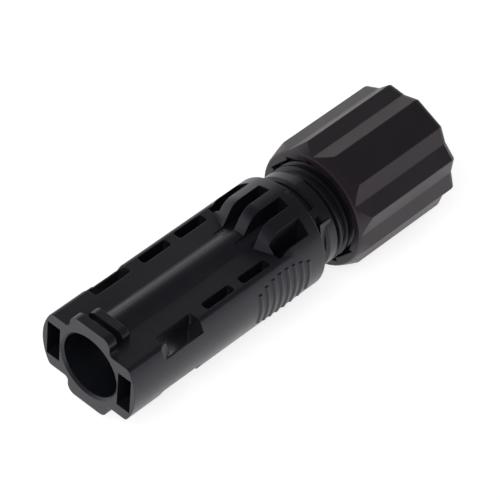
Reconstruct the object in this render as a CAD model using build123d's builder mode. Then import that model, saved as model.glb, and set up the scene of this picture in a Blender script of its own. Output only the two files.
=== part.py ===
from build123d import *
import math
import os

# A cable-mount solar connector, the half with the wide socket and the pin contact.
# Millimetres. X runs along the contact from the mating face (x = 0) to the back nut,
# Z is up through the flat top, and the bore's centreline is y = z = 0.

# ---- mouth, outer shell ----
shell_length = 39.8
mouth_radius = 5.25
mouth_depth = 6.6
mouth_wall = 0.5
mouth_chamfer = 0.4
seat_step = 0.3  # the insulator's bore is this much tighter than the mouth
flat_drop = 0.15  # the flats lie this far inside the mouth's radius
flat_corner = 0.8
pocket_room = 2.56  # room for a latch arm between the mouth tube and the skin
pocket_wall = 0.89
ring_wall = 0.8
recess_depth = 1.1
nick_width = 1.5
nick_depth = 0.5
nick_angle = 98

# key lugs over and under the mouth, the rim behind each, and the ridge
lug_width = 7.8
lug_rise = 2.6
lug_length = 1.5
lug_corner = 1.4
lug_foot = 0.7
rim_start = 3.2
rim_length = 1.4
rim_width = 6.8
rim_rise = 1.7
rim_corner = 1.2
ridge_half_width = 2.4
ridge_rise = 1.1
ridge_run_in = 2.0  # how far the ridge carries on under the flare

# latch pockets and the windows over them
pocket_half_height = 3.2
pocket_depth = 14.4
window_start = 7.05
catch_length = 0.95
catch_height = 1.01
bevel_start = 6.6
bevel_angle = 20

# ring, flare and fins, counted from the rear edge of the shell
ring_length = 5.8
flare_length = 5.6
fin_width = 1.9
fin_pitch = 3.95
fin_slot_lead = 0.2  # the fin slots start this far up the flare
side_slot_lead = 3.3
slot_end_wall = 0.8
tube_wall = 0.8

# straight slots along both edges of the flats
slot_wall = 0.62
slot_rail = 0.557
slot_length = 5.8
slot_bridge = 1.7
slot_corner = 0.45

# grip ribs on the two round sides
rib_count = 8
rib_pitch = 1.46
rib_setback = 3.48  # last rib to the rear edge
rib_bead = 0.42
rib_proud = 0.25
grip_half_height = 3.9
grip_half_length = 7.3

# ---- fits ----
seat_gap = 0.05
pin_gap = 0.1
face_gap = 0.05
clear_gap = 0.3
cage_gap = 0.35
chamber_gap = 0.25
thread_gap = 0.2
clip_gap = 0.15
tooth_gap = 0.1

# ---- contact and its clip ----
pin_radius = 2.0
pin_setback = 0.6
pin_nose = 1.2
shank_rise = 0.3
shank_lead = 1.0
stop_rise = 0.35
stop_length = 1.5
crimp_radius = 1.75
crimp_depth = 10.0
barrel_wall = 0.95
barrel_setback = 3.5  # barrel end to the seal's seat
sight_radius = 0.6
sight_inset = 0.8
clip_wall = 0.3
clip_length = 6.0
tine_count = 4
tine_gap = 0.8

# ---- wire seal and clamping cage ----
seal_length = 9.0
seal_wire_radius = 2.9
seal_wall = 1.65
seal_edge = 0.4
seal_grooves = 3
seal_groove_radius = 0.5
seal_room = 0.7  # left ahead of the seal when the nut is home
cage_wall = 0.9
cage_flange_rise = 1.0
cage_flange_length = 1.5
cage_reach = 7.7
cage_lead_in = 0.8
cage_lead_drop = 0.3
cage_clearance = 1.2  # left ahead of the flange when the nut is home
finger_count = 8
finger_gap = 1.0
finger_root = 1.0
lip_length = 1.0
lip_rise = 0.5

# ---- insulator body ----
front_setback = 0.8  # behind the floor of the mouth
socket_wall = 0.7
web_start = 23.0
web_length = 2.0
neck_wall = 1.1
neck_cut = 0.1
collar_setback = 2.2  # behind the shell's rear edge
collar_length = 2.0
collar_round = 0.45
thread_pitch = 1.5
thread_depth = 0.65
thread_root_width = 0.9
thread_crest_width = 0.35
thread_sink = 0.2
thread_run_out = 0.6
tooth_setback = 1.4
tooth_length = 2.3
tooth_fall = 0.65
tooth_angles = (142, 187)
key_angle = 128
key_width = 1.3
guide_key_width = 0.5
guide_key_rise = 0.6
sink = 0.1  # how far keys and teeth run into the body they stand on

# ---- back nut ----
nut_setback = 7.1  # behind the shell's rear edge, before it is tightened
nut_length = 21.1
nut_turns = 3
nut_wall = 1.7
nut_corner_rise = 0.85
nut_corners = 12
nut_first_corner = 9.2  # angle from +Y
nut_flat_valleys = (3, 9)  # valleys left flat, counted from the first corner
nut_edge = 0.25
nose_wall = 0.8
nose_edge = 0.2
cone_end = 2.2
rear_round = 0.9
rear_steps = 3
bore_chamfer = 0.5
ratchet_teeth = 12
ratchet_relief = 0.45
ratchet_height = 0.6
ratchet_phase = 18.5
ratchet_ramp = 20  # degrees from a tooth's step to its crest
funnel_length = 3.75
cable_rise = 0.5
cable_wall = 3.0

# radii, from the mouth outwards
seat_radius = mouth_radius - seat_step
tube_radius = seat_radius + tube_wall
flat_height = mouth_radius - flat_drop  # half height over the two flats
pocket_inner = mouth_radius + mouth_wall
pocket_outer = pocket_inner + pocket_room
catch_inner = pocket_outer - catch_height
shell_radius = pocket_outer + pocket_wall
recess_radius = shell_radius - ring_wall
lug_height = flat_height + lug_rise
rim_height = flat_height + rim_rise
slot_inner = seat_radius + slot_wall
slot_outer = math.sqrt(shell_radius**2 - flat_height**2) - slot_rail
socket_radius = seat_radius - seat_gap - socket_wall

# radii, from the conductor outwards
shank_radius = pin_radius + shank_rise
barrel_radius = crimp_radius + barrel_wall
stop_radius = barrel_radius + stop_rise
chamber_radius = stop_radius + chamber_gap
seal_outer = seal_wire_radius + seal_wall
lip_radius = seal_wire_radius + lip_rise
cable_radius = lip_radius + cable_rise
cage_inner = seal_outer + clear_gap
cage_outer = cage_inner + cage_wall
cage_flange_radius = cage_outer + cage_flange_rise
seal_bore_radius = cage_outer + cage_gap
thread_core = seal_bore_radius + neck_wall
thread_crest = thread_core + thread_depth
neck_radius = thread_core - neck_cut
collar_radius = thread_crest
nut_bore = thread_crest + thread_gap
ratchet_crest = thread_crest + ratchet_relief
ratchet_root = ratchet_crest + ratchet_height
crest_turn = math.radians(360 / ratchet_teeth - ratchet_ramp)
tooth_peak = ratchet_crest * math.cos(crest_turn / 2) - tooth_gap
tooth_foot = tooth_peak - tooth_fall
nose_radius = ratchet_root + nose_wall
nut_valley_radius = nut_bore + nut_wall
nut_corner_radius = nut_valley_radius + nut_corner_rise

# stations along X
flare_end = shell_length - ring_length
flare_start = flare_end - flare_length
fin_slot_start = flare_start + fin_slot_lead
side_slot_start = flare_start + side_slot_lead
slot_end = shell_length - recess_depth - slot_end_wall
slot_count = int((side_slot_start - pocket_depth) / (slot_length + slot_bridge))
rib_first = shell_length - rib_setback - (rib_count - 1) * rib_pitch
insulator_front = mouth_depth + front_setback
pin_tip = insulator_front + pin_setback
shank_start = web_start - shank_lead
stop_start = web_start + web_length + face_gap
neck_start = shell_length - recess_depth
tooth_start = shell_length + tooth_setback
collar_start = shell_length + collar_setback
thread_start = collar_start + collar_length
ridge_start = thread_start + thread_run_out
travel = nut_turns * thread_pitch
nut_start = shell_length + nut_setback
nut_end = nut_start + nut_length
ratchet_end = tooth_start + tooth_length + travel + clear_gap
nut_thread_start = ratchet_end + bore_chamfer
clear_of_collar = thread_start + travel + thread_root_width + thread_gap
nut_ridge_lead = max(nut_thread_start + thread_run_out, clear_of_collar)
cage_back_face = nut_end - cable_wall - funnel_length - face_gap
cage_front_face = cage_back_face - cage_flange_length
cage_tip = cage_front_face - cage_reach
body_end = cage_front_face - cage_clearance - travel
seal_back = cage_back_face - lip_length
seal_front = seal_back - seal_length
seal_seat = seal_front - seal_room - travel
barrel_end = seal_seat - barrel_setback
chamber_start = cage_front_face - clear_gap


os.makedirs("parts", exist_ok=True)


def turned(points):
    """Adds a closed outline, in (x, radius) pairs, to the open sketch on Plane.XZ."""
    with BuildLine() as outline:
        Polyline(*points, close=True)
    make_face(outline.edges())


def on_circle(radius, angle):
    """A point of a sketch on Plane.YZ, its angle counted from +Y towards +Z."""
    turn = math.radians(angle)
    return (radius * math.cos(turn), radius * math.sin(turn))


def fluted(drawn_in):
    """Adds the nut's fluted outline, drawn in all round, to the open sketch on Plane.YZ."""
    corner_step = 360 / nut_corners
    points = []
    for i in range(nut_corners):
        corner = nut_first_corner + i * corner_step
        points.append(on_circle(nut_corner_radius - drawn_in, corner))
        if i not in nut_flat_valleys:
            points.append(on_circle(nut_valley_radius - drawn_in, corner + corner_step / 2))
    with BuildLine() as outline:
        Polyline(*points, close=True)
    make_face(outline.edges())


def thread_ridge(root_radius, crest_radius, start, length):
    """One right-hand helical ridge about X, its foot sunk a little past root_radius."""
    up = 1 if crest_radius > root_radius else -1
    flank = (thread_root_width - thread_crest_width) / 2 / thread_depth
    foot = thread_root_width / 2 + thread_sink * flank
    crest = thread_crest_width / 2
    with BuildPart() as ridge:
        with BuildLine():
            path = Helix(thread_pitch, length, root_radius, center=(start, 0, 0), direction=(1, 0, 0))
        with BuildSketch(Plane(origin=path @ 0, x_dir=(1, 0, 0), z_dir=path % 0)):
            with BuildLine():
                Polyline((-foot, -up * thread_sink), (foot, -up * thread_sink),
                         (crest, up * thread_depth), (-crest, up * thread_depth), close=True)
            make_face()
        sweep(path=path, is_frenet=True)
    return ridge.part


# ---- outer shell ----
ridge_arc = (ridge_half_width**2 + ridge_rise**2) / (2 * ridge_rise)
ridge_centre = flat_height + ridge_rise - ridge_arc
with BuildPart() as outer_shell:
    with BuildSketch(Plane.YZ) as shell_section:
        Circle(shell_radius)
        Rectangle(3 * shell_radius, 2 * flat_height, mode=Mode.INTERSECT)
        fillet(shell_section.vertices(), flat_corner)
    extrude(amount=flare_end)

    # the flats swell back to the full round over an S-shaped flare
    with BuildSketch(Plane.XZ):
        with BuildLine():
            Spline((flare_start, flat_height), (flare_end, shell_radius), tangents=((1, 0), (1, 0)))
            Polyline((flare_end, shell_radius), (shell_length, shell_radius), (shell_length, 0),
                     (flare_start, 0), (flare_start, flat_height))
        make_face()
    revolve(axis=Axis.X)

    # key lugs, rims and ridges, above and below
    with BuildSketch(Plane.YZ) as lug_section:
        Rectangle(lug_width + 4 * lug_foot, 2 * flat_height)
        RectangleRounded(lug_width, 2 * lug_height, lug_corner)
        feet = [v for v in lug_section.vertices() if abs(abs(v.X) - lug_width / 2) < 0.01]
        fillet([v for v in feet if abs(abs(v.Y) - flat_height) < 0.01], lug_foot)
    extrude(amount=lug_length)
    with BuildSketch(Plane.YZ.offset(rim_start)):
        RectangleRounded(rim_width, 2 * rim_height, rim_corner)
    extrude(amount=rim_length)
    with BuildSketch(Plane.YZ.offset(rim_start)):
        with Locations((0, ridge_centre), (0, -ridge_centre)):
            Circle(ridge_arc)
    extrude(amount=flare_start + ridge_run_in - rim_start)
    with BuildSketch(Plane.YZ):
        Circle(mouth_radius + mouth_wall)
        Rectangle(rim_width, 2 * rim_height, mode=Mode.INTERSECT)
    extrude(amount=rim_start)

    # grip ribs on both round sides, their ends on an oval
    for i in range(rib_count):
        rib_x = rib_first + i * rib_pitch
        along = (rib_x - rib_first - (rib_count - 1) * rib_pitch / 2) / grip_half_length
        reach = grip_half_height * math.sqrt(1 - along**2)
        with BuildPart(mode=Mode.PRIVATE) as rib:
            with Locations((rib_x, 0, 0)):
                Torus(shell_radius + rib_proud - rib_bead, rib_bead, rotation=(0, 90, 0))
                Box(2 * rib_bead, 3 * shell_radius, 2 * reach, mode=Mode.INTERSECT)
        add(rib.part)

    # through-going cuts: bore, insulator seat and the recess at the rear
    with BuildSketch(Plane.XZ):
        turned([(0, 0), (0, mouth_radius + mouth_chamfer), (mouth_chamfer, mouth_radius),
                (mouth_depth, mouth_radius), (mouth_depth, seat_radius), (neck_start, seat_radius),
                (neck_start, recess_radius), (shell_length, recess_radius), (shell_length, 0)])
    revolve(axis=Axis.X, mode=Mode.SUBTRACT)

    # a small index nick in the rear rim
    with BuildSketch(Plane.YZ.offset(shell_length - nick_depth)):
        with Locations(Location((*on_circle(shell_radius, nick_angle), 0), (0, 0, nick_angle))):
            Rectangle(4 * ring_wall, nick_width)
    extrude(amount=2 * nick_depth, mode=Mode.SUBTRACT)

    # latch pockets, open at the front, and their corner windows
    pocket_centre = (pocket_inner + pocket_outer) / 2
    for side in (1, -1):
        with BuildSketch(Plane.YZ):
            with Locations((side * pocket_centre, 0)):
                Rectangle(pocket_outer - pocket_inner, 2 * pocket_half_height)
        extrude(amount=pocket_depth, mode=Mode.SUBTRACT)
        for level in (1, -1):
            with BuildSketch(Plane.XY.offset(level * pocket_half_height)) as window:
                with BuildLine():
                    Polyline((window_start, side * pocket_inner), (pocket_depth, side * pocket_inner),
                             (pocket_depth, side * 2 * shell_radius),
                             (window_start + catch_length, side * 2 * shell_radius),
                             (window_start + catch_length, side * catch_inner),
                             (window_start, side * catch_inner), close=True)
                make_face()
                far_corners = window.vertices().sort_by_distance((pocket_depth, side * pocket_inner))
                fillet(far_corners[0], slot_corner)
            extrude(amount=level * shell_radius, mode=Mode.SUBTRACT)
            # the flange edge falls away towards the window along a flat bevel
            low = math.sqrt(shell_radius**2 - pocket_half_height**2)
            high = math.sqrt(shell_radius**2 - flat_height**2)
            lean = math.atan2(low - high, flat_height - pocket_half_height)
            tilt = math.radians(bevel_angle)
            normal = (math.sin(tilt), side * math.cos(tilt) * math.cos(lean),
                      level * math.cos(tilt) * math.sin(lean))
            corner = Plane(origin=(bevel_start, side * (low + high) / 2,
                                   level * (flat_height + pocket_half_height) / 2),
                           x_dir=(0, -side * math.sin(lean), level * math.cos(lean)), z_dir=normal)
            with BuildSketch(corner):
                Rectangle(math.hypot(low - high, flat_height - pocket_half_height), 4 * catch_length)
            extrude(amount=pocket_room, mode=Mode.SUBTRACT)

    # straight slots through the flats on each side of the tube
    for side in (1, -1):
        for i in range(slot_count):
            slot_middle = side_slot_start - (i + 1) * (slot_length + slot_bridge) + slot_length / 2
            with BuildSketch(Plane.XY):
                with Locations((slot_middle, side * (slot_inner + slot_outer) / 2)):
                    RectangleRounded(slot_length, slot_outer - slot_inner, slot_corner)
            extrude(amount=2 * shell_radius, both=True, mode=Mode.SUBTRACT)

    # the slots that part the flare into fins stop at the tube
    with BuildPart(mode=Mode.PRIVATE) as fin_slots:
        for side in (1, -1):
            inner_edge = fin_width / 2
            outer_edge = fin_pitch - fin_width / 2
            with BuildSketch(Plane.XY):
                with Locations(((fin_slot_start + slot_end) / 2, side * (inner_edge + outer_edge) / 2)):
                    Rectangle(slot_end - fin_slot_start, outer_edge - inner_edge)
                with Locations(((side_slot_start + slot_end) / 2,
                                side * (fin_pitch + fin_width / 2 + slot_outer) / 2)):
                    Rectangle(slot_end - side_slot_start, slot_outer - fin_pitch - fin_width / 2)
            extrude(amount=2 * shell_radius, both=True)
        Cylinder(tube_radius, 3 * shell_length, rotation=(0, 90, 0), mode=Mode.SUBTRACT)
    add(fin_slots.part, mode=Mode.SUBTRACT)
outer_shell.part.label = "outer_shell"
export_step(outer_shell.part, "parts/outer_shell.step")


# ---- insulator body ----
with BuildPart() as insulator_body:
    with BuildSketch(Plane.XZ):
        turned([(insulator_front, socket_radius), (insulator_front, seat_radius - seat_gap),
                (neck_start, seat_radius - seat_gap), (neck_start, neck_radius),
                (collar_start, neck_radius), (collar_start, collar_radius - collar_round),
                (collar_start + collar_round, collar_radius), (thread_start, collar_radius),
                (thread_start, thread_core), (body_end, thread_core),
                (body_end, seal_bore_radius), (seal_seat, seal_bore_radius),
                (seal_seat, chamber_radius), (web_start + web_length, chamber_radius),
                (web_start + web_length, shank_radius + pin_gap), (web_start, shank_radius + pin_gap),
                (web_start, socket_radius)])
    revolve(axis=Axis.X)

    # two one-way ratchet teeth behind the shell
    for half_turn in (0, 180):
        top, foot = (a + half_turn for a in tooth_angles)
        with BuildSketch(Plane.YZ.offset(tooth_start)):
            with BuildLine():
                Polyline(on_circle(neck_radius - sink, top), on_circle(tooth_peak, top),
                         on_circle(tooth_foot, foot), on_circle(neck_radius - sink, foot), close=True)
            make_face()
        extrude(amount=tooth_length)

    # keys that stop the neck from turning in the shell
    with BuildSketch(Plane.YZ.offset(neck_start)):
        for half_turn in (0, 180):
            middle = on_circle((neck_radius + recess_radius) / 2 - sink, key_angle + half_turn)
            with Locations(Location((*middle, 0), (0, 0, key_angle))):
                Rectangle(recess_radius - neck_radius, key_width)
    extrude(amount=collar_start - neck_start + sink)

    # guide keys for the cage inside the rear bore
    with BuildSketch(Plane.YZ.offset(seal_seat)):
        for half_turn in (0, 180):
            middle = on_circle(seal_bore_radius - guide_key_rise / 2 + sink, half_turn + 90)
            with Locations(Location((*middle, 0), (0, 0, 90))):
                Rectangle(guide_key_rise + 2 * sink, guide_key_width)
    extrude(amount=body_end - seal_seat)
    add(thread_ridge(thread_core, thread_crest, ridge_start, body_end - thread_run_out - ridge_start))
insulator_body.part.label = "insulator_body"
export_step(insulator_body.part, "parts/insulator_body.step")


# ---- back nut ----
with BuildPart() as back_nut:
    with BuildSketch(Plane.YZ.offset(nut_start)) as nut_section:
        fluted(0)
        fillet(nut_section.vertices(), nut_edge)
    extrude(amount=nut_length - rear_round)
    # the rear edge is rounded along the flutes
    for i in range(rear_steps + 1):
        turn = math.radians(90 * i / rear_steps)
        with BuildSketch(Plane.YZ.offset(nut_end - rear_round * (1 - math.sin(turn)))) as rear_section:
            fluted(rear_round * (1 - math.cos(turn)))
            fillet(rear_section.vertices(), nut_edge)
    loft(ruled=True)
    # and the front is turned down to a cone
    with BuildSketch(Plane.XZ):
        turned([(nut_start, 0), (nut_start, nose_radius - nose_edge), (nut_start + nose_edge, nose_radius),
                (nut_start + cone_end, nut_corner_radius), (nut_end, nut_corner_radius), (nut_end, 0)])
    revolve(axis=Axis.X, mode=Mode.INTERSECT)

    # inside, from the front: ratchet ring, thread bore, cage chamber, funnel, cable hole
    with BuildSketch(Plane.XZ):
        turned([(nut_start, 0), (nut_start, ratchet_crest - sink), (ratchet_end, ratchet_crest - sink),
                (nut_thread_start, nut_bore), (chamber_start, nut_bore),
                (chamber_start, cage_flange_radius + clear_gap),
                (cage_back_face + face_gap, cage_flange_radius + clear_gap),
                (cage_back_face + face_gap, cage_outer), (nut_end - cable_wall, cable_radius),
                (nut_end, cable_radius), (nut_end, 0)])
    revolve(axis=Axis.X, mode=Mode.SUBTRACT)
    with BuildSketch(Plane.YZ.offset(nut_start)):
        tooth_step = 360 / ratchet_teeth
        outline = []
        for i in range(ratchet_teeth):
            step = ratchet_phase + i * tooth_step
            outline.append(on_circle(ratchet_crest, step))
            outline.append(on_circle(ratchet_root, step))
            outline.append(on_circle(ratchet_crest, step + ratchet_ramp))
        with BuildLine():
            Polyline(*outline, close=True)
        make_face()
    extrude(amount=ratchet_end - nut_start, mode=Mode.SUBTRACT)
    # its ridge runs midway between the turns of the neck's, and stops short of the collar when home
    turns_in = math.ceil((nut_ridge_lead - ridge_start) / thread_pitch - 0.5) + 0.5
    nut_ridge_start = ridge_start + turns_in * thread_pitch
    nut_ridge_end = chamber_start - thread_run_out
    add(thread_ridge(nut_bore, nut_bore - thread_depth, nut_ridge_start, nut_ridge_end - nut_ridge_start))
back_nut.part.label = "back_nut"
export_step(back_nut.part, "parts/back_nut.step")


# ---- clamping cage ----
with BuildPart() as clamping_cage:
    with BuildSketch(Plane.XZ):
        turned([(cage_tip, cage_inner), (cage_tip, cage_outer - cage_lead_drop),
                (cage_tip + cage_lead_in, cage_outer), (cage_front_face, cage_outer),
                (cage_front_face, cage_flange_radius), (cage_back_face, cage_flange_radius),
                (cage_back_face, lip_radius), (cage_back_face - lip_length, lip_radius),
                (cage_back_face - lip_length, cage_inner)])
    revolve(axis=Axis.X)
    with BuildSketch(Plane.YZ.offset(cage_tip)):
        for i in range(finger_count):
            angle = 90 + i * 360 / finger_count
            with Locations(Location((*on_circle((cage_inner + cage_outer) / 2, angle), 0), (0, 0, angle))):
                Rectangle(2 * cage_wall, finger_gap)
    extrude(amount=cage_reach - finger_root, mode=Mode.SUBTRACT)
clamping_cage.part.label = "clamping_cage"
export_step(clamping_cage.part, "parts/clamping_cage.step")


# ---- wire seal ----
with BuildPart() as wire_seal:
    with BuildSketch(Plane.XZ):
        turned([(seal_front, seal_wire_radius), (seal_front, seal_outer - seal_edge),
                (seal_front + seal_edge, seal_outer), (seal_back, seal_outer),
                (seal_back, seal_wire_radius)])
    revolve(axis=Axis.X)
    with BuildSketch(Plane.XZ):
        for i in range(seal_grooves):
            with Locations((seal_front + seal_length * (i + 1) / (seal_grooves + 1), seal_wire_radius)):
                Circle(seal_groove_radius)
    revolve(axis=Axis.X, mode=Mode.SUBTRACT)
wire_seal.part.label = "wire_seal"
export_step(wire_seal.part, "parts/wire_seal.step")


# ---- contact pin ----
with BuildPart() as contact_pin:
    with BuildSketch(Plane.XZ):
        with BuildLine():
            Polyline((pin_tip + pin_nose, pin_radius), (shank_start, pin_radius),
                     (shank_start, shank_radius), (stop_start, shank_radius), (stop_start, stop_radius),
                     (stop_start + stop_length, stop_radius), (stop_start + stop_length, barrel_radius),
                     (barrel_end, barrel_radius), (barrel_end, crimp_radius),
                     (barrel_end - crimp_depth, crimp_radius), (barrel_end - crimp_depth, 0),
                     (pin_tip, 0), (pin_tip, pin_radius - pin_nose))
            RadiusArc((pin_tip, pin_radius - pin_nose), (pin_tip + pin_nose, pin_radius), pin_nose)
        make_face()
    revolve(axis=Axis.X)
    with BuildSketch(Plane.XY):
        with Locations((barrel_end - crimp_depth + sight_inset, 0)):
            Circle(sight_radius)
    extrude(amount=2 * barrel_radius, mode=Mode.SUBTRACT)
contact_pin.part.label = "contact_pin"
export_step(contact_pin.part, "parts/contact_pin.step")


# ---- retention clip ----
with BuildPart() as retention_clip:
    clip_start = stop_start + stop_length + face_gap
    clip_inner = barrel_radius + clip_gap
    with BuildSketch(Plane.XZ):
        turned([(clip_start, clip_inner), (clip_start, clip_inner + clip_wall),
                (clip_start + clip_length, clip_inner + clip_wall), (clip_start + clip_length, clip_inner)])
    revolve(axis=Axis.X)
    with BuildSketch(Plane.YZ.offset(clip_start + clip_length / 3)):
        for i in range(tine_count):
            angle = 45 + i * 360 / tine_count
            with Locations(Location((*on_circle(clip_inner, angle), 0), (0, 0, angle))):
                Rectangle(4 * clip_wall, tine_gap)
    extrude(amount=clip_length, mode=Mode.SUBTRACT)
retention_clip.part.label = "retention_clip"
export_step(retention_clip.part, "parts/retention_clip.step")
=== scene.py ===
from math import pi, radians

import bpy
from mathutils import Matrix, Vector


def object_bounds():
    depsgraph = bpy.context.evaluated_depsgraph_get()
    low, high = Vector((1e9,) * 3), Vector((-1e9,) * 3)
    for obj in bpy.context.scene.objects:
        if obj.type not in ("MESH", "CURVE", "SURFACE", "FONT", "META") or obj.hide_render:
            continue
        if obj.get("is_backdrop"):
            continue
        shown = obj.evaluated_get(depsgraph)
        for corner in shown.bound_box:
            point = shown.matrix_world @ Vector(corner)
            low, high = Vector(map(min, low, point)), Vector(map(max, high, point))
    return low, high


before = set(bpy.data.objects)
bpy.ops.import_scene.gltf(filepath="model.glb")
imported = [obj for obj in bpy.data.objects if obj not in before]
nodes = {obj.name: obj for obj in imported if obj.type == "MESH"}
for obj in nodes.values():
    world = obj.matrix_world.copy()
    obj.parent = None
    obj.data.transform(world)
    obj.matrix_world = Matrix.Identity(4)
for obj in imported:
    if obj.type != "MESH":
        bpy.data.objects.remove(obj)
cad_box = [list(corner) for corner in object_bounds()]
scene = bpy.context.scene
scene.view_settings.view_transform = "Standard"


# ---- Camera ----
# A long lens a good half metre away looks down on the mating face and the near side.
# The connector runs from low on the left to high on the right, so the camera rolls a little.
camera_turn = radians(-50.405)
camera_height = radians(44.442)
camera_roll = radians(5.001)
camera_place = (-0.256162, -0.239573, 0.369194)

camera = bpy.data.objects.new("camera", bpy.data.cameras.new("camera"))
camera.data.sensor_width = 36
camera.data.lens = 258.75
camera.data.clip_start = 0.05
camera.data.clip_end = 20
camera.matrix_world = (Matrix.Translation(camera_place) @ Matrix.Rotation(camera_turn, 4, "Z")
                       @ Matrix.Rotation(radians(90) - camera_height, 4, "X")
                       @ Matrix.Rotation(camera_roll, 4, "Z"))
scene.collection.objects.link(camera)
scene.camera = camera


# ---- Table and backdrop ----
# The connector lies on a matt white laminate table in a room with white walls and a dark ceiling.
# Black plastic mirrors the table in its lower sides and the ceiling in its flat top, and the
# ceiling is darkest a little towards the near side.
def linear(code):
    """The scene-linear colour of an sRGB hex code such as #1c1d20."""
    channels = [int(code[i:i + 2], 16) / 255 for i in (1, 3, 5)]
    return (*[c / 12.92 if c <= 0.04045 else ((c + 0.055) / 1.055) ** 2.4 for c in channels], 1)


def add_node(tree, kind, sockets=None, **settings):
    """Adds one node. Sockets take a plain value or another node's output."""
    node = tree.nodes.new(kind)
    for name, value in settings.items():
        setattr(node, name, value)
    for name, value in (sockets or {}).items():
        if isinstance(value, bpy.types.NodeSocket):
            tree.links.new(value, node.inputs[name])
        else:
            node.inputs[name].default_value = value
    return node


def new_material(name):
    """An empty node material and its tree."""
    material = bpy.data.materials.new(name)
    material.use_nodes = True
    material.node_tree.nodes.clear()
    return material, material.node_tree


table_reach = 3.0
table_height = cad_box[0][2]
laminate_white = linear("#adadad")
laminate_glow = 0.76

laminate, tree = new_material("matt_white_laminate")
seen = add_node(tree, "ShaderNodeLightPath")
seen_or_mirrored = add_node(tree, "ShaderNodeMath", {
    0: seen.outputs["Is Camera Ray"], 1: seen.outputs["Is Glossy Ray"]}, operation="MAXIMUM")
seen_at_all = add_node(tree, "ShaderNodeMath", {
    0: seen_or_mirrored.outputs[0], 1: seen.outputs["Is Transmission Ray"]}, operation="MAXIMUM")
glow = add_node(tree, "ShaderNodeMath", {0: seen_at_all.outputs[0], 1: laminate_glow}, operation="MULTIPLY")
sheet = add_node(tree, "ShaderNodeBsdfDiffuse", {"Color": laminate_white})
lit = add_node(tree, "ShaderNodeEmission", {"Color": (1, 1, 1, 1), "Strength": glow.outputs[0]})
both = add_node(tree, "ShaderNodeAddShader", {0: sheet.outputs[0], 1: lit.outputs[0]})
add_node(tree, "ShaderNodeOutputMaterial", {"Surface": both.outputs[0]})

table_mesh = bpy.data.meshes.new("table")
table_corners = [(x * table_reach, y * table_reach, table_height)
                 for x, y in ((-1, -1), (1, -1), (1, 1), (-1, 1))]
table_mesh.from_pydata(table_corners, [], [(0, 1, 2, 3)])
table_mesh.materials.append(laminate)
table = bpy.data.objects.new("table", table_mesh)
scene.collection.objects.link(table)
table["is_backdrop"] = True

darkest_way = (0, -0.26, 0.965)
ceiling_starts = 0.0
ceiling_full = 0.5
ceiling_level = 0.14

room = bpy.data.worlds.new("white_room")
room.use_nodes = True
room.node_tree.nodes.clear()
direction = add_node(room.node_tree, "ShaderNodeTexCoord")
upward = add_node(room.node_tree, "ShaderNodeVectorMath", {
    0: direction.outputs["Generated"], 1: darkest_way}, operation="DOT_PRODUCT")
wall_to_ceiling = add_node(room.node_tree, "ShaderNodeMapRange", {
    "Value": upward.outputs["Value"], "From Min": ceiling_starts, "From Max": ceiling_full,
    "To Min": 1.0, "To Max": ceiling_level}, interpolation_type="SMOOTHSTEP")
walls = add_node(room.node_tree, "ShaderNodeBackground", {
    "Color": (1, 1, 1, 1), "Strength": wall_to_ceiling.outputs["Result"]})
add_node(room.node_tree, "ShaderNodeOutputWorld", {"Surface": walls.outputs[0]})
scene.world = room


# ---- Lamps ----
# A large softbox high in front lights the table and the upper faces, and leaves no highlight of
# its own. A long one behind the far side draws the pale line along the ridge and over the flare,
# and a small low one beyond the nut catches the edges that face the cable end.
def softbox(name, place, aim, width, height, watts, mirrored=True):
    """An area lamp turned towards a point. One that isn't mirrored lights without a highlight."""
    lamp = bpy.data.lights.new(name, "AREA")
    lamp.shape = "RECTANGLE"
    lamp.size, lamp.size_y = width, height
    lamp.energy = watts
    holder = bpy.data.objects.new(name, lamp)
    holder.location = place
    holder.rotation_euler = (holder.location - aim).to_track_quat("Z", "Y").to_euler()
    holder.visible_glossy = mirrored
    scene.collection.objects.link(holder)


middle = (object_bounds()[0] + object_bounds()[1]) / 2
softbox("key_softbox", (-0.90, -0.45, 1.15), middle, 1.2, 1.2, 22, mirrored=False)
softbox("rear_softbox", (0.75, 1.05, 0.75), middle, 0.9, 0.30, 0.6)
softbox("side_strip", (1.10, -0.42, 0.10), middle, 0.25, 0.18, 1.2)


# ---- Outer shell ----
# The latch housing that a hand grips: one injection moulding in black glass-filled polyamide.
# It slips over the insulator body and is keyed to it behind the ring.
mm = 0.001


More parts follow.
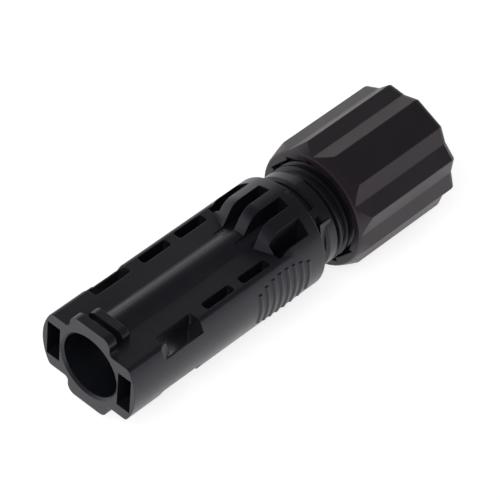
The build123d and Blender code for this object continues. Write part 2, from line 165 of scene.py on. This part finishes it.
def moulded_black(name, colour, dust_and_edge_highlight_colour, glint, roughness, grain, grain_height, edge):
    """Injection-moulded black plastic: a satin skin with fine spark grain, a slow waviness where
    the wall sank as it cooled, slightly polished edges that are also painted paler as a painted
    highlight with some wear, and a faint dusty haze in patches. The grain's width and height and the edge's
    radius are in metres."""
    wave = 4.5 * mm
    wave_depth = 0.04 * mm
    dust = 0.25
    edge_highlight_and_wear = 0.6
    polish = 0.08
    material, tree = new_material(name)
    place = add_node(tree, "ShaderNodeTexCoord").outputs["Object"]
    sink = add_node(tree, "ShaderNodeTexNoise", {"Vector": place, "Scale": 1 / wave, "Detail": 2.0})
    spark = add_node(tree, "ShaderNodeTexNoise", {"Vector": place, "Scale": 1 / grain, "Detail": 3.0,
                                                  "Roughness": 0.6})
    patches = add_node(tree, "ShaderNodeTexNoise", {"Vector": place, "Scale": 1 / (3 * wave), "Detail": 5.0,
                                                    "Roughness": 0.65})
    rounded = add_node(tree, "ShaderNodeBevel", {"Radius": edge}, samples=6)
    flat = add_node(tree, "ShaderNodeNewGeometry")
    corner = add_node(tree, "ShaderNodeVectorMath", {0: rounded.outputs[0], 1: flat.outputs["Normal"]},
                      operation="DOT_PRODUCT")
    worn_and_highlit_edge = add_node(tree, "ShaderNodeMapRange", {"Value": corner.outputs["Value"], "From Min": 0.995,
                                                   "From Max": 0.80, "To Min": 0.0, "To Max": 1.0})
    dusty = add_node(tree, "ShaderNodeMapRange", {"Value": patches.outputs["Fac"], "From Min": 0.42,
                                                  "From Max": 0.72, "To Min": 0.0, "To Max": dust})
    # Edges are painted paler towards the dust colour: a painted highlight along the edges, with some wear.
    painted_edge_highlight_and_wear = add_node(tree, "ShaderNodeMath", {0: worn_and_highlit_edge.outputs[0], 1: edge_highlight_and_wear}, operation="MULTIPLY")
    paler = add_node(tree, "ShaderNodeMath", {0: dusty.outputs[0], 1: painted_edge_highlight_and_wear.outputs[0]}, operation="MAXIMUM")
    skin_colour = add_node(tree, "ShaderNodeMix", {"Factor": paler.outputs[0], 6: linear(colour),
                                                   7: linear(dust_and_edge_highlight_colour)}, data_type="RGBA")
    gloss = add_node(tree, "ShaderNodeMapRange", {"Value": patches.outputs["Fac"], "From Min": 0.3,
                                                  "From Max": 0.7, "To Min": roughness - 0.04,
                                                  "To Max": roughness + 0.05})
    polished = add_node(tree, "ShaderNodeMath", {0: worn_and_highlit_edge.outputs[0], 1: -polish, 2: gloss.outputs[0]},
                        operation="MULTIPLY_ADD")
    waves = add_node(tree, "ShaderNodeBump", {"Height": sink.outputs["Fac"], "Strength": 1.0,
                                              "Distance": wave_depth, "Normal": rounded.outputs[0]})
    grained = add_node(tree, "ShaderNodeBump", {"Height": spark.outputs["Fac"], "Strength": 1.0,
                                                "Distance": grain_height, "Normal": waves.outputs[0]})
    skin = add_node(tree, "ShaderNodeBsdfPrincipled", {
        "Base Color": skin_colour.outputs[2], "Roughness": polished.outputs[0],
        "IOR": 1.53, "Specular Tint": linear(glint), "Normal": grained.outputs[0]})
    add_node(tree, "ShaderNodeOutputMaterial", {"Surface": skin.outputs[0]})
    return material


def finish(node, material):
    """Gives every slot of a CAD node the material."""
    for slot in nodes[node].material_slots:
        slot.material = material


finish("outer_shell", moulded_black("shell_polyamide", "#0f1014", "#1a1b20", "#f0eefc",
                                    0.34, 0.22 * mm, 0.006 * mm, 0.14 * mm))


# ---- Insulator body ----
# The inner moulding with the long socket, the ratchet teeth, the threaded neck and the seal's bore.
# It is the same polyamide from a more polished tool, so the thread's crests catch more light.
finish("insulator_body", moulded_black("insulator_polyamide", "#0c0c0f", "#17181b", "#f0eefc",
                                       0.32, 0.18 * mm, 0.003 * mm, 0.08 * mm))


# ---- Back nut ----
# The fluted nut that squeezes the cage on to the cable, moulded in a warmer black compound.
# It screws on the neck's thread, and its flutes have the same satin skin as the rest of it.
finish("back_nut", moulded_black("nut_polyamide", "#181418", "#231d22", "#fff0fa",
                                 0.40, 0.24 * mm, 0.009 * mm, 0.18 * mm))


# ---- Clamping cage ----
# The slotted collet that grips the cable's jacket, moulded in plain unfilled polyamide, which is
# greyer than the housing. It slides in the neck's rear bore and the nut pushes it home.
finish("clamping_cage", moulded_black("cage_polyamide", "#242628", "#303234", "#ffffff",
                                      0.45, 0.20 * mm, 0.002 * mm, 0.06 * mm))


# ---- Wire seal ----
# A soft ribbed sleeve of silicone rubber, moulded, dull, with a trace of talc. It sits in the
# cage, and takes the plastic's recipe with a rougher and paler skin.
finish("wire_seal", moulded_black("seal_silicone", "#2b2c2e", "#48494b", "#ffffff",
                                  0.62, 0.25 * mm, 0.004 * mm, 0.10 * mm))


# ---- Contact pin ----
# A turned copper contact with a bright tin plate, crimped on the strands and clipped in the body.
# Turning rings run round it, drawn coarser than a lathe leaves them so that they show at all.
def plated_metal(name, colour, stain, roughness, ring):
    """Bright metal with rings from the lathe or the slitting tool, a ring's width apart, and
    faint stains. The band pattern repeats every 2 pi / 20 of its own unit."""
    stain_size = 3 * mm
    ring_depth = 0.004 * mm
    material, tree = new_material(name)
    place = add_node(tree, "ShaderNodeTexCoord").outputs["Object"]
    rings = add_node(tree, "ShaderNodeTexWave", {"Vector": place, "Scale": 2 * pi / 20 / ring,
                                                 "Distortion": 0.4, "Detail": 2.0},
                     wave_type="BANDS", bands_direction="X")
    stains = add_node(tree, "ShaderNodeTexNoise", {"Vector": place, "Scale": 1 / stain_size, "Detail": 4.0})
    tint = add_node(tree, "ShaderNodeMix", {"Factor": stains.outputs["Fac"], 6: linear(colour),
                                            7: linear(stain)}, data_type="RGBA")
    dull = add_node(tree, "ShaderNodeMapRange", {"Value": stains.outputs["Fac"], "From Min": 0.3,
                                                 "From Max": 0.7, "To Min": roughness - 0.06,
                                                 "To Max": roughness + 0.08})
    turned = add_node(tree, "ShaderNodeBump", {"Height": rings.outputs["Fac"], "Strength": 0.5,
                                               "Distance": ring_depth})
    metal = add_node(tree, "ShaderNodeBsdfPrincipled", {
        "Base Color": tint.outputs[2], "Metallic": 1.0, "Roughness": dull.outputs[0],
        "Normal": turned.outputs[0]})
    add_node(tree, "ShaderNodeOutputMaterial", {"Surface": metal.outputs[0]})
    return material


finish("contact_pin", plated_metal("tinned_copper", "#c9c7c2", "#a9a49a", 0.24, 0.94 * mm))


# ---- Retention clip ----
# A rolled sleeve of stainless spring strip whose tines lock the contact in the body. It snaps
# over the contact behind its stop, and its bands are the marks of the slitting tool, drawn coarse.
finish("retention_clip", plated_metal("spring_steel", "#b4b2ae", "#918e88", 0.30, 0.63 * mm))
